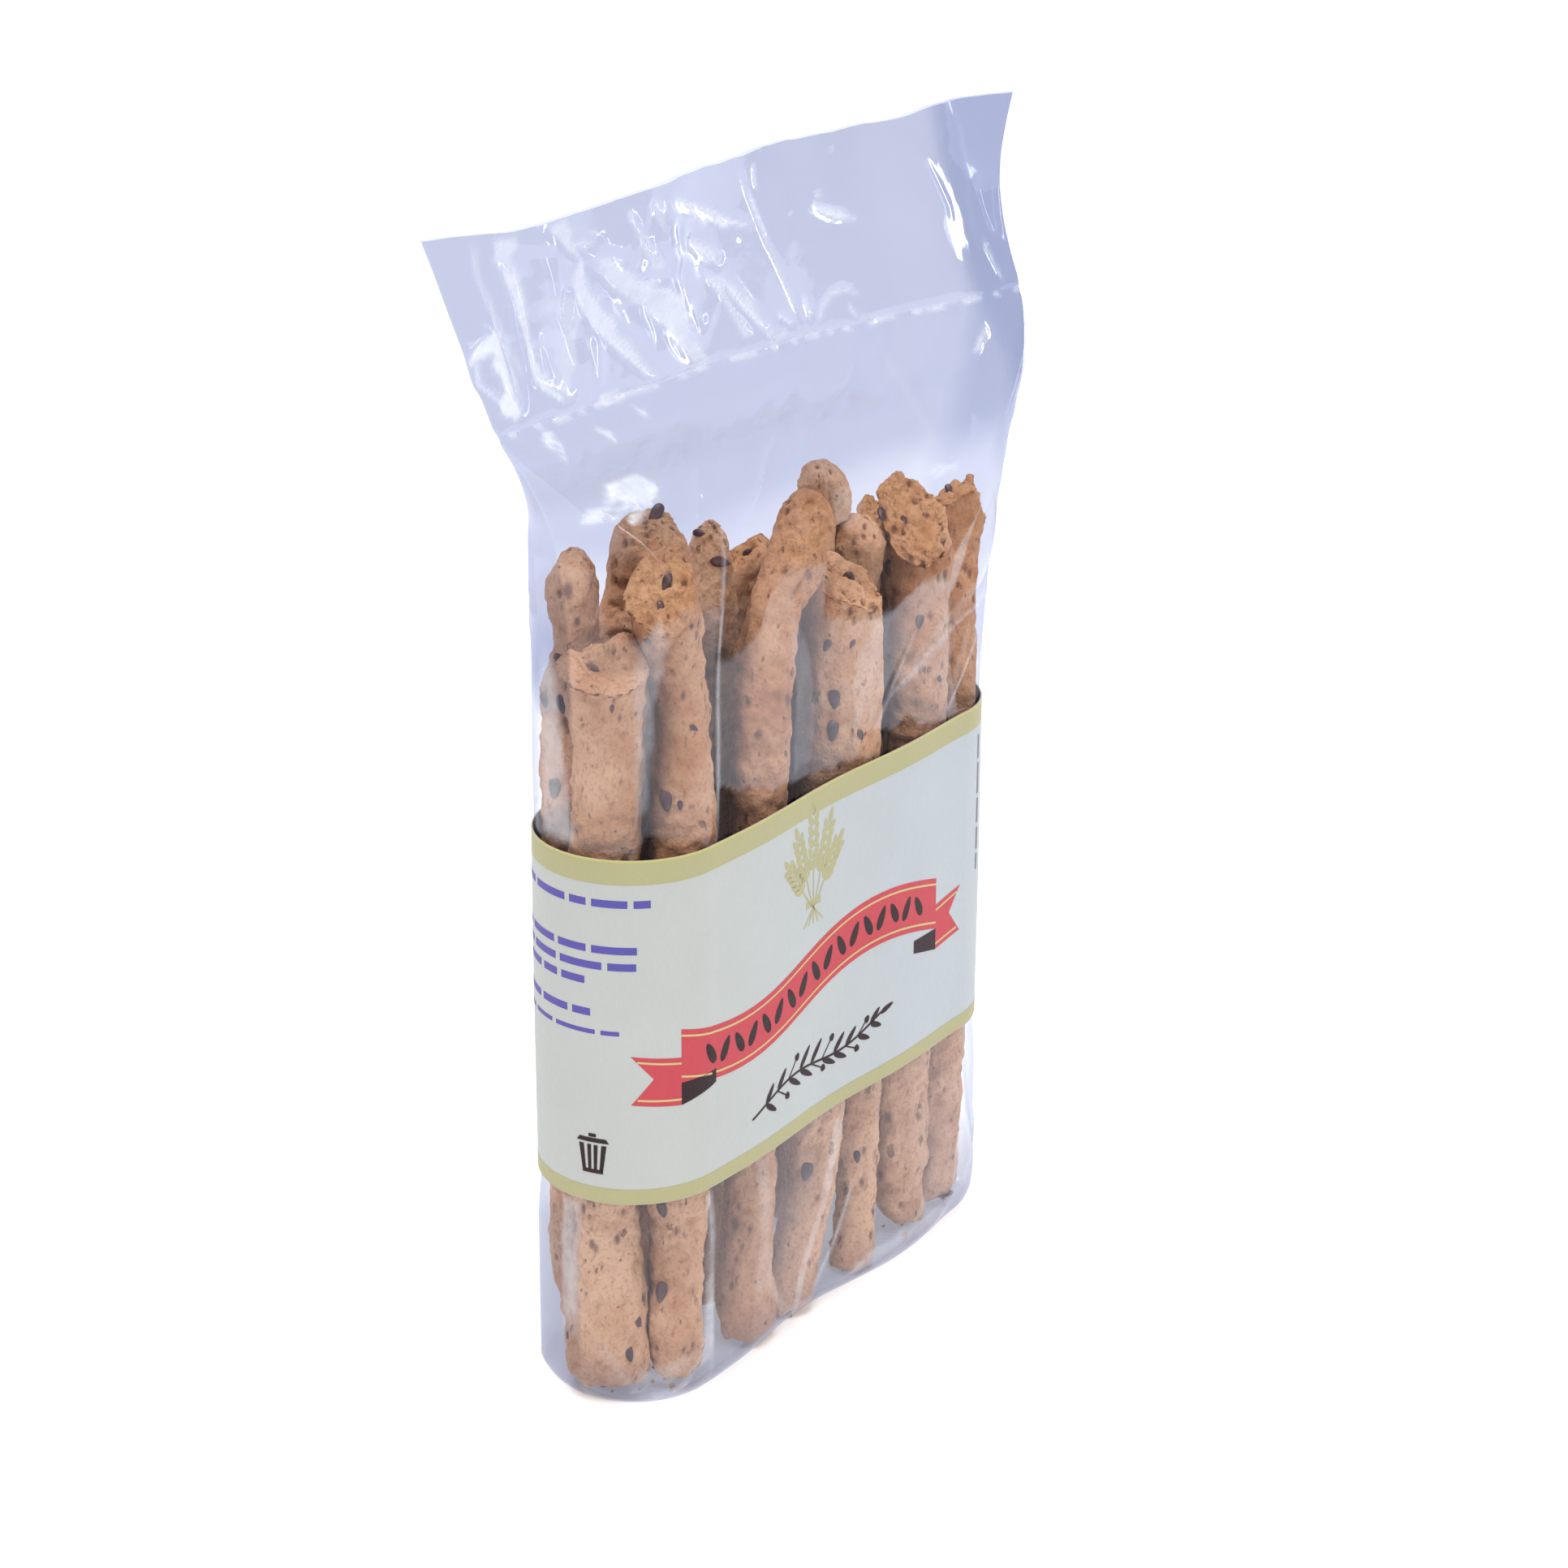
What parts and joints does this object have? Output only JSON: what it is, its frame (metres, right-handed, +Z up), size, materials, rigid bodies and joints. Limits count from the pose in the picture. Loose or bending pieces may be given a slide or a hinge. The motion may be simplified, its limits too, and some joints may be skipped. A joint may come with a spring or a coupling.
{
  "type": "bag of breadsticks",
  "caption": "Clear film bag of seeded breadsticks, crimped shut under a loose film skirt, standing upright, with a printed paper sleeve round its middle.",
  "frame": {"origin": "centre of the flat base that the bag stands on", "axes": "+Z up towards the seal and the skirt, X across the wide front from left to right, -Y out of the front"},
  "size_m": [0.1524, 0.0434, 0.233],
  "materials": {
    "film": "clear crinkled film with a faint lavender tint, two layers deep in the skirt",
    "paper": "smooth uncoated label paper, pale green-white",
    "gold_ink": "olive-gold print on the sleeve",
    "red_ink": "red print on the sleeve",
    "blue_ink": "violet-blue print on the sleeve",
    "dark_ink": "black print on the sleeve",
    "bread": null,
    "seed": "dark smooth flax seeds in the crust"
  },
  "bodies": {
    "root": {"bag": "film", "sleeve": "paper"}
  },
  "joints": []
}
